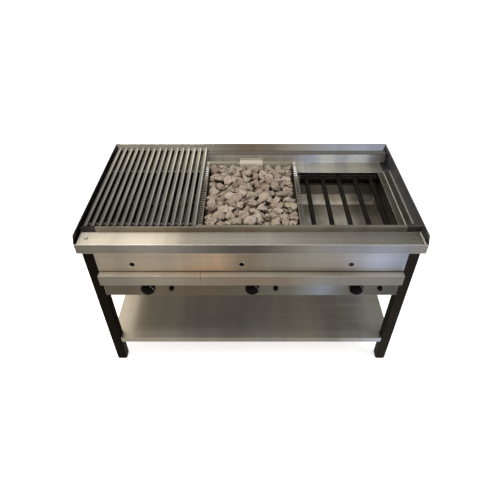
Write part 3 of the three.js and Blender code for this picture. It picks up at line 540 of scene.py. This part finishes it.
def leg_paint():
    """Satin brown-black paint with a slight orange peel and dusty, rubbed patches."""
    finish = Finish("leg_paint", 0.5, 0.0)
    dust = finish.noise((9, 9, 4), detail=5.0, distortion=0.5)
    tint = finish.ramp(dust, [(0.3, (0.013, 0.0105, 0.007)), (0.7, (0.028, 0.023, 0.0155))])
    # Painted shade: the legs on the left are painted darker and browner, those on the right a
    # little lighter, against the key light.
    light = across(finish, [(-1.0, (0.26, 0.20, 0.13)), (1.0, grey(1.08))])
    finish.set("Base Color", finish.mix(tint, light, 1.0, "MULTIPLY"))
    finish.set("Specular IOR Level", 0.04)
    finish.set("Roughness", finish.span(dust, 0.3, 0.7, 0.42, 0.6))
    finish.round_edges(0.003)
    finish.relief(finish.noise((350, 350, 350), detail=2.0), 0.0002, 0.35)
    return finish


def plastic(name, colour, roughness, shine=0.4):
    finish = Finish(name, roughness, 0.0)
    wear = finish.noise((60, 60, 60), detail=4.0)
    dull = tuple(channel * 1.9 + 0.002 for channel in colour)
    finish.set("Base Color", finish.ramp(wear, [(0.35, colour), (0.75, dull)]))
    finish.set("Roughness", finish.span(wear, 0.3, 0.7, roughness, roughness + 0.12))
    finish.set("Specular IOR Level", shine)
    finish.relief(finish.noise((900, 900, 900), detail=2.0), 0.00005, 0.4)
    return finish


def valve_brass():
    finish = Finish("valve_brass", 0.32, 1.0)
    tarnish = finish.noise((70, 70, 70), detail=5.0)
    tint = finish.ramp(tarnish, [(0.3, (0.30, 0.19, 0.08)), (0.7, (0.58, 0.42, 0.18))])
    finish.set("Base Color", tint)
    finish.set("Roughness", finish.span(tarnish, 0.3, 0.7, 0.45, 0.28))
    finish.relief(tarnish, 0.0001, 0.3)
    return finish


def electrode_ceramic():
    finish = Finish("electrode_ceramic", 0.25, 0.0)
    soot = finish.noise((90, 90, 60), detail=4.0)
    tint = finish.ramp(soot, [(0.35, (0.10, 0.085, 0.07)), (0.6, (0.35, 0.32, 0.28))])
    finish.set("Base Color", tint)
    finish.set("Coat Weight", 0.4)
    finish.relief(soot, 0.0001, 0.3)
    return finish


def lava_rock():
    """Porous volcanic stone: each rock its own tone, with painted shade in its pits and in the
    crevices between stones.
    """
    finish = Finish("lava_rock", 0.95, 0.0)
    rock = finish.node("NewGeometry").outputs["Random Per Island"]
    body = finish.ramp(rock, [(0.0, (0.25, 0.19, 0.155)), (0.3, (0.33, 0.26, 0.21)),
                              (0.45, (0.33, 0.272, 0.215)), (0.52, (0.335, 0.295, 0.22)),
                              (0.6, (0.345, 0.275, 0.225)), (0.8, (0.385, 0.32, 0.26)),
                              (1.0, (0.44, 0.37, 0.31))])
    cloud = finish.noise((90, 90, 90), detail=6.0, roughness=0.65)
    body = finish.darken(body, cloud, grey(0.6))
    # Painted shade in the pores.
    pores = finish.cells(420.0)
    pits = finish.ramp(pores, [(0.10, grey(0.2)), (0.34, grey(1.0))])
    body = finish.mix(body, pits, 0.6, "MULTIPLY")
    # Painted shade in the crevices between stones, from ambient occlusion.
    open_sky = finish.node("AmbientOcclusion", {"Distance": 0.022}, samples=8).outputs["AO"]
    crevice = finish.ramp(open_sky, [(0.12, (0.05, 0.035, 0.025)), (0.34, (0.4, 0.36, 0.32)),
                                     (0.62, grey(1.0))])
    body = finish.mix(body, crevice, 1.0, "MULTIPLY")
    finish.set("Base Color", body)
    finish.set("Specular IOR Level", 0.1)
    finish.relief(cloud, 0.0025, 0.7)
    finish.relief(pores, 0.0012, 0.7)
    return finish


def white_print():
    finish = Finish("white_print", 0.55, 0.0)
    wear = finish.noise((700, 700, 700), detail=3.0)
    finish.set("Base Color", finish.ramp(wear, [(0.3, grey(0.5)), (0.5, grey(0.85))]))
    finish.relief(wear, 0.00003, 0.3)
    return finish


FINISHES = {
    "stainless": panel_steel(),
    "hearth_steel": hearth_steel("hearth_steel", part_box("firebox")[1].z - 0.0022),
    "tray_steel": tray_steel(),
    "grate_steel": grate_steel(),
    "basket_steel": basket_steel(),
    "burner_iron": burner_iron(),
    "dark_steel": dark_steel(),
    "leg_paint": leg_paint(),
    "cap_plastic": plastic("cap_plastic", (0.010, 0.009, 0.008), 0.55),
    "knob_plastic": plastic("knob_plastic", (0.0028, 0.0021, 0.0015), 0.14, shine=0.045),
    "button_plastic": plastic("button_plastic", (0.003, 0.0024, 0.0018), 0.2, shine=0.05),
    "valve_brass": valve_brass(),
    "electrode_ceramic": electrode_ceramic(),
    "lava_rock": lava_rock(),
}
SHEETS = {
    "front_ledge": ledge_steel(),
    "control_panel": control_steel(),
    "undershelf": shelf_steel(),
    # Painted shade and painted reflection: the left splash is tinted near black and the right one a
    # cool grey.
    "side_splash_left": side_steel("left_splash_steel", (0.05, 0.051, 0.054)),
    "side_splash_right": side_steel("right_splash_steel", (0.23, 0.235, 0.285)),
    "backsplash": back_steel(),
    "rear_rail": rail_steel(),
    "front_riser": riser_steel(),
    "side_panel_left": side_steel("left_panel_steel", tone(PLAIN, 0.9)),
    "side_panel_right": side_steel("right_panel_steel", tone(PLAIN, 0.9)),
}
for side in ("left", "right"):
    filler = f"hearth_filler_{side}"
    SHEETS[filler] = hearth_steel(f"{filler}_steel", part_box(filler)[1].z - 0.0025)


# ---------------------------------------------------------------- CAD pieces
def soften(node, width):
    """Welds the facets of a CAD node and rounds its edges; its own mesh stays as it came."""
    weld = node.modifiers.new("weld", "WELD")
    weld.merge_threshold = 0.00002
    bevel = node.modifiers.new("bevel", "BEVEL")
    bevel.width = width
    bevel.segments = 2
    bevel.limit_method = "ANGLE"
    bevel.angle_limit = math.radians(28)
    bevel.harden_normals = False
    bevel.use_clamp_overlap = True


def smooth_shading(node):
    for face in node.data.polygons:
        face.use_smooth = True
    normals = node.modifiers.new("normals", "WEIGHTED_NORMAL")
    normals.keep_sharp = True


# The edge radius of a folded sheet, and of the pieces whose names start as given.
SHEET_EDGE = 0.0004
EDGE = {"knob": 0.0007, "igniter_button": 0.0006, "foot_cap": 0.0008, "burner": 0.0015,
        "spark_electrode": 0.0003, "cooking_grate": 0.0005}

for entry in frame["record"]["subparts"]:
    node = frame["nodes"][entry["node"]]
    node.data.materials.clear()
    finish = SHEETS.get(entry["node"], FINISHES[entry["material_slot"]])
    node.data.materials.append(finish.material)
    width = next((w for start, w in EDGE.items() if entry["node"].startswith(start)), SHEET_EDGE)
    soften(node, width)
    smooth_shading(node)


# ---------------------------------------------------------------- lava rocks
ROCKS = 128
HEAP_EDGE = 0.697  # height of the heap along the basket's walls
HEAP_CROWN = 0.0125  # how much higher its middle is


def heap_top(spot, low, high):
    """How high a stone's middle may lie: a shallow crown, lower towards the basket's back wall."""
    sideways = 2 * (spot[:, 0] - low.x) / (high.x - low.x) - 1
    back = 2 * (spot[:, 1] - low.y) / (high.y - low.y) - 1
    return HEAP_EDGE + HEAP_CROWN * (1 - sideways**4) * (1 - np.clip(back, 0, 1) ** 3)


def resting_places(low, high, bottom, rng):
    """Stones as balls, dropped into the basket and pushed apart until they rest on each other."""
    smallest, largest = 0.0155, 0.0235
    steps = 600
    fall = 0.0005
    push = 0.45  # share of an overlap that one step undoes
    above, below = 0.72, 0.8  # a stone's reach up and down, as shares of its ball's radius
    radius = rng.uniform(smallest, largest, ROCKS)
    spot = np.stack([rng.uniform(low.x, high.x, ROCKS), rng.uniform(low.y, high.y, ROCKS),
                     rng.uniform(bottom, bottom + 0.08, ROCKS)], axis=1)
    reach = radius[:, None] + radius[None, :]
    for _ in range(steps):
        spot[:, 2] -= fall
        between = spot[:, None, :] - spot[None, :, :]
        distance = np.linalg.norm(between, axis=2) + 1e-9
        overlap = np.clip(reach - distance, 0, None)
        np.fill_diagonal(overlap, 0)
        spot += push * (between / distance[:, :, None] * overlap[:, :, None]).sum(axis=1)
        spot[:, 0] = np.clip(spot[:, 0], low.x + radius, high.x - radius)
        spot[:, 1] = np.clip(spot[:, 1], low.y + radius, high.y - radius)
        top = heap_top(spot, low, high) - above * radius
        spot[:, 2] = np.clip(spot[:, 2], bottom + below * radius, top)
    return spot, radius


def stone(rng):
    """A chipped lump about one unit in radius: flat breaks, bitten hollows and a rough skin."""
    made = bmesh.new()
    bmesh.ops.create_icosphere(made, subdivisions=4, radius=1.0)
    breaks = rng.normal(size=(rng.integers(7, 12), 3))
    breaks /= np.linalg.norm(breaks, axis=1)[:, None]
    reach = rng.uniform(0.55, 0.85, len(breaks))
    bites = rng.normal(size=(5, 3))
    bites /= np.linalg.norm(bites, axis=1)[:, None]
    bite_depth = rng.uniform(0.1, 0.36, len(bites))
    offset = Vector(rng.uniform(-50, 50, 3))
    for vertex in made.verts:
        out = vertex.co.normalized()
        toward = np.clip(breaks @ np.array(out), 1e-3, None)
        radius = min(1.15, float((reach / toward).min()))
        radius -= float((bite_depth * np.exp(-(1 - bites @ np.array(out)) / 0.05)).sum())
        radius *= 1.05 + 0.30 * noise.noise(out * 1.6 + offset)
        radius *= 1.04 - 0.42 * abs(noise.noise(out * 2.6 + offset))
        radius *= 1 + 0.16 * noise.noise(out * 5.3 + offset)
        radius *= 1 + 0.09 * noise.noise(out * 11.0 + offset)
        vertex.co = out * max(radius, 0.3)
    return made


def heap_of_stones():
    """All the stones as one mesh, each clear of the basket's walls and floor."""
    rng = np.random.default_rng(SEED)
    low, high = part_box("lava_rock_bed")
    clearance = Vector((0.001, 0.001, 0))
    spots, radii = resting_places(low + clearance, high - clearance, low.z, rng)
    heap = bmesh.new()
    for spot, radius in zip(spots, radii):
        lump = stone(rng)
        squash = Matrix.Diagonal((rng.uniform(1.2, 1.55), rng.uniform(1.0, 1.2),
                                  rng.uniform(0.8, 1.0), 1.0))
        roll = Matrix.Rotation(rng.uniform(-0.6, 0.6), 4, "X")
        tilt = roll @ Matrix.Rotation(rng.uniform(-0.6, 0.6), 4, "Y")
        turn = Matrix.Rotation(rng.uniform(0, 2 * math.pi), 4, "Z")
        place = Matrix.Translation(spot) @ turn @ tilt @ squash @ Matrix.Scale(radius, 4)
        bmesh.ops.transform(lump, matrix=place, verts=lump.verts)
        for vertex in lump.verts:
            vertex.co.x = min(max(vertex.co.x, low.x), high.x)
            vertex.co.y = min(max(vertex.co.y, low.y), high.y)
            vertex.co.z = max(vertex.co.z, low.z)
        single = bpy.data.meshes.new("stone")
        lump.to_mesh(single)
        heap.from_mesh(single)
        lump.free()
        bpy.data.meshes.remove(single)
    return heap


def piece(name, made, finish, body, smooth=True):
    """Turns a finished bmesh into a named piece that rides on a body."""
    mesh = bpy.data.meshes.new(name)
    made.to_mesh(mesh)
    made.free()
    for face in mesh.polygons:
        face.use_smooth = smooth
    obj = bpy.data.objects.new(name, mesh)
    obj.data.materials.append(finish.material)
    bpy.context.scene.collection.objects.link(obj)
    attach(obj, body)
    return obj


rocks = piece("lava_rocks", heap_of_stones(), FINISHES["lava_rock"], "basket_body")
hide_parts("lava_rock_bed")


# ---------------------------------------------------------------- small parts
LIP_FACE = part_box("front_ledge")[0].y
LEDGE_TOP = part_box("front_ledge")[1].z - 0.004
RISER_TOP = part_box("front_riser")[1].z
RISER_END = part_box("front_riser")[1].x
KNOB_TO_LIGHTING = 0.038
LIGHTING_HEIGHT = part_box("front_panel")[0].z + 0.033
MARK_RING = 0.0228  # radius of the knob's index marks
SKIRT_FACE = 0.01145  # front of the knob's skirt, behind the lip
PLUG_SPOT = (-0.566, 0.033)  # across, and behind the lip
RIVET_SPOT = (0.556, 0.029)
TRIM = brushed("trim_steel", [(-1.0, CREAM), (1.0, CREAM)], roughness=0.25)
PRINT = white_print()


def aimed(spot, direction):
    """A place whose own Z points along a direction."""
    return Matrix.Translation(spot) @ Vector(direction).to_track_quat("Z", "Y").to_matrix().to_4x4()


def spun(made, profile, place, steps=24, loop=False):
    """A turned solid from (radius, height) points; a loop is a ring."""
    rings = []
    for radius, height in profile:
        turns = [2 * math.pi * i / steps for i in range(steps)] if radius else [0.0]
        rings.append([
            made.verts.new(place @ Vector((radius * math.cos(a), radius * math.sin(a), height)))
            for a in turns])
    for one, other in zip(rings, rings[1:] + rings[:1] if loop else rings[1:]):
        for i in range(steps):
            ahead = (i + 1) % steps
            corners = [one[i % len(one)], one[ahead % len(one)],
                       other[ahead % len(other)], other[i % len(other)]]
            made.faces.new(dict.fromkeys(corners))
    bmesh.ops.recalc_face_normals(made, faces=made.faces)


def chip(made, place, size, edge):
    """A small block with rounded edges."""
    grown = bmesh.ops.create_cube(made, size=1.0, matrix=place @ Matrix.Diagonal((*size, 1.0)))
    edges = {e for vertex in grown["verts"] for e in vertex.link_edges}
    bmesh.ops.bevel(made, geom=list(edges), offset=edge, segments=2, affect="EDGES")


# Outlines of turned parts: (radius, height above the face they sit on).
SCREW = [(0, 0.0005), (0.0013, 0.0005), (0.0015, 0.0013), (0.0026, 0.0014), (0.0037, 0.0009),
         (0.0041, 0.0001), (0.0041, -0.0004), (0, -0.0004)]
PLUG = [(0, 0.0003), (0.0052, 0.0003), (0.0056, 0.0007), (0.0066, 0.0006), (0.0071, 0.0001),
        (0.0071, -0.0003), (0, -0.0003)]
RIVET = [(0, 0.0001), (0.0012, 0.0002), (0.0020, 0.0005), (0.0024, 0.0001), (0.0024, -0.0003),
         (0, -0.0003)]
PORT = [(0.0095, 0.0), (0.0099, -0.0006), (0.0108, -0.0006), (0.0112, 0.0), (0.0104, 0.0009)]


def on_ledge(spot):
    """A place on the plating ledge, whose Z points up."""
    across_ledge, behind_lip = spot
    return aimed((across_ledge, LIP_FACE + behind_lip, LEDGE_TOP), (0, 0, 1))


def ledge_fittings():
    """A blanking plug at the left end of the ledge and a rivet at the right end."""
    plug = bmesh.new()
    spun(plug, PLUG, on_ledge(PLUG_SPOT), steps=32)
    plug_steel = brushed("plug_steel", [(-1.0, OLIVE), (1.0, OLIVE)], edge=0.3)
    piece("ledge_plug", plug, plug_steel, "frame")
    rivet = bmesh.new()
    spun(rivet, RIVET, on_ledge(RIVET_SPOT))
    piece("ledge_rivet", rivet, FINISHES["burner_iron"], "frame")


def corner_shade_plates():
    """Folded dark plates in the two corners between the riser and the splashes, standing in for the
    shade there.
    """
    made = bmesh.new()
    sheet = 0.0015
    splash_inside = HALF_WIDTH - 0.0040
    front = LIP_FACE + 0.0697
    bottom = LEDGE_TOP + 0.0005
    top = RISER_TOP - 0.0012
    width = splash_inside - RISER_END - 0.0010
    for side, back in ((-1, 0.0022), (1, 0.010)):
        middle = side * (RISER_END + splash_inside) / 2
        upright = Matrix.Translation((middle, front + sheet / 2, (bottom + top) / 2))
        chip(made, upright, (width, sheet, top - bottom), 0.0004)
        fold = Matrix.Translation((middle, front + back / 2, top - sheet / 2))
        chip(made, fold, (width - 0.0004, back, sheet), 0.0004)
    piece("corner_shade_plates", made, FINISHES["dark_steel"], "frame", smooth=False)


def lighting_rings():
    """A rolled edge round each lighting hole in the front panel."""
    made = bmesh.new()
    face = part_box("front_panel")[0].y
    for bay in BAYS:
        low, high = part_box(f"knob_{bay}")
        spot = ((low.x + high.x) / 2 - KNOB_TO_LIGHTING, face, LIGHTING_HEIGHT)
        spun(made, PORT, aimed(spot, (0, -1, 0)), steps=40, loop=True)
    piece("lighting_rings", made, TRIM, "frame")


def knob_marks(bay):
    """Three index marks on the skirt, up and to the right."""
    made = bmesh.new()
    low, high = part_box(f"knob_{bay}")
    middle = (low + high) / 2
    for degrees in (38, 62, 86):
        turn = math.radians(degrees)
        spot = (middle.x + MARK_RING * math.sin(turn), LIP_FACE + SKIRT_FACE,
                middle.z + MARK_RING * math.cos(turn))
        place = Matrix.Translation(spot) @ Matrix.Rotation(turn, 4, "Y")
        chip(made, place, (0.0021, 0.0006, 0.0040), 0.0001)
    piece(f"knob_marks_{bay}", made, PRINT, f"knob_{bay}_body")


def case_screws():
    """Two rows of screws on each side panel and on the back panel."""
    made = bmesh.new()
    low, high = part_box("side_panel_right")
    for side in (-1, 1):
        for height in (low.z + 0.020, high.z - 0.030):
            for share in (0.16, 0.39, 0.61, 0.84):
                spot = (side * high.x, low.y + share * (high.y - low.y), height)
                spun(made, SCREW, aimed(spot, (side, 0, 0)))
    low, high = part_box("back_panel")
    for height in (low.z + 0.016, high.z - 0.030):
        for i in range(6):
            spot = (low.x + 0.03 + i * (high.x - low.x - 0.06) / 5, high.y, height)
            spun(made, SCREW, aimed(spot, (0, 1, 0)))
    piece("case_screws", made, TRIM, "frame")


ledge_fittings()
corner_shade_plates()
lighting_rings()
case_screws()
for bay in BAYS:
    knob_marks(bay)


# ---------------------------------------------------------------- room
def floor():
    """A pale floor: nearly white to the camera, a soft even glow to the steel."""
    made = bmesh.new()
    bmesh.ops.create_grid(made, x_segments=1, y_segments=1, size=30)
    mesh = bpy.data.meshes.new("floor")
    made.to_mesh(mesh)
    made.free()
    obj = bpy.data.objects.new("floor", mesh)
    bpy.context.scene.collection.objects.link(obj)
    finish = Finish("floor", 0.9, 0.0)
    speckle = finish.noise((40, 40, 40), detail=3.0)
    finish.set("Base Color", finish.ramp(speckle, [(0.3, grey(0.88)), (0.7, grey(0.92))]))
    finish.set("Emission Color", opaque(grey(1.0)))
    finish.set("Emission Strength", 0.6)
    path = finish.node("LightPath")
    glow = finish.node("Emission", {"Color": across(finish, [
        (-1.0, (0.66, 0.61, 0.55)), (0.0, (0.60, 0.57, 0.53)), (1.0, (0.62, 0.64, 0.70))])})
    shown = finish.node("MixShader", {0: path.outputs["Is Camera Ray"], 1: glow.outputs[0],
                                      2: finish.surface.outputs[0]})
    finish.feed(finish.tree.nodes["Material Output"].inputs["Surface"], shown.outputs[0])
    obj.data.materials.append(finish.material)


def soft_box(name, place, size, power, colour):
    """A rectangular light aimed at the middle of the grates."""
    light = bpy.data.lights.new(name, "AREA")
    light.shape = "RECTANGLE"
    light.size, light.size_y = size
    light.energy = power
    light.color = colour
    obj = bpy.data.objects.new(name, light)
    obj.location = place
    aim = Vector((0, 0, 0.6)) - Vector(place)
    obj.rotation_euler = aim.to_track_quat("-Z", "Y").to_euler()
    bpy.context.scene.collection.objects.link(obj)


def room():
    """White to the camera; to the steel, a soft room, warm on the left and cool on the right."""
    world = bpy.data.worlds.new("room")
    world.use_nodes = True
    bpy.context.scene.world = world
    world.node_tree.nodes.clear()
    walls = Nodes(world.node_tree, "Generated")
    behind = walls.along("X", -0.7, 0.7, [
        (-0.7, (1.15, 1.05, 0.90)), (-0.1, (1.0, 0.93, 0.82)), (0.15, (0.72, 0.70, 0.66)),
        (0.7, (0.62, 0.62, 0.64))])
    before = walls.along("X", -0.7, 0.7, [
        (-0.7, (0.72, 0.68, 0.60)), (0.1, (0.72, 0.69, 0.64)), (0.4, (0.90, 0.94, 1.05)),
        (0.7, (0.70, 0.73, 0.80))])
    light = walls.mix(before, behind, walls.span(walls.axis("Y"), -0.25, 0.25))
    path = walls.node("LightPath")
    colour = walls.mix(light, opaque(grey(1.0)), path.outputs["Is Camera Ray"])
    back = walls.node("Background", {"Color": colour, "Strength": 1.0})
    out = walls.node("OutputWorld")
    walls.feed(out.inputs["Surface"], back.outputs[0])


floor()
room()
soft_box("key", (-0.9, -0.1, 2.9), size=(1.6, 1.0), power=50, colour=(1.0, 0.96, 0.90))
soft_box("fill", (2.2, -0.6, 1.9), size=(1.4, 1.4), power=22, colour=(0.86, 0.92, 1.0))

# The camera stands where the cook stands and looks down at the grates, as in the photo.
camera = bpy.data.objects.new("camera", bpy.data.cameras.new("camera"))
camera.location = (0.0, -1.4108, 1.6656)
camera.rotation_euler = (math.radians(48.76), 0.0, 0.0)
camera.data.sensor_width = 36.0
camera.data.lens = 31.1
camera.data.shift_x = -0.0024
camera.data.shift_y = -0.016
bpy.context.scene.collection.objects.link(camera)
bpy.context.scene.camera = camera
bpy.context.scene.view_settings.view_transform = "Standard"
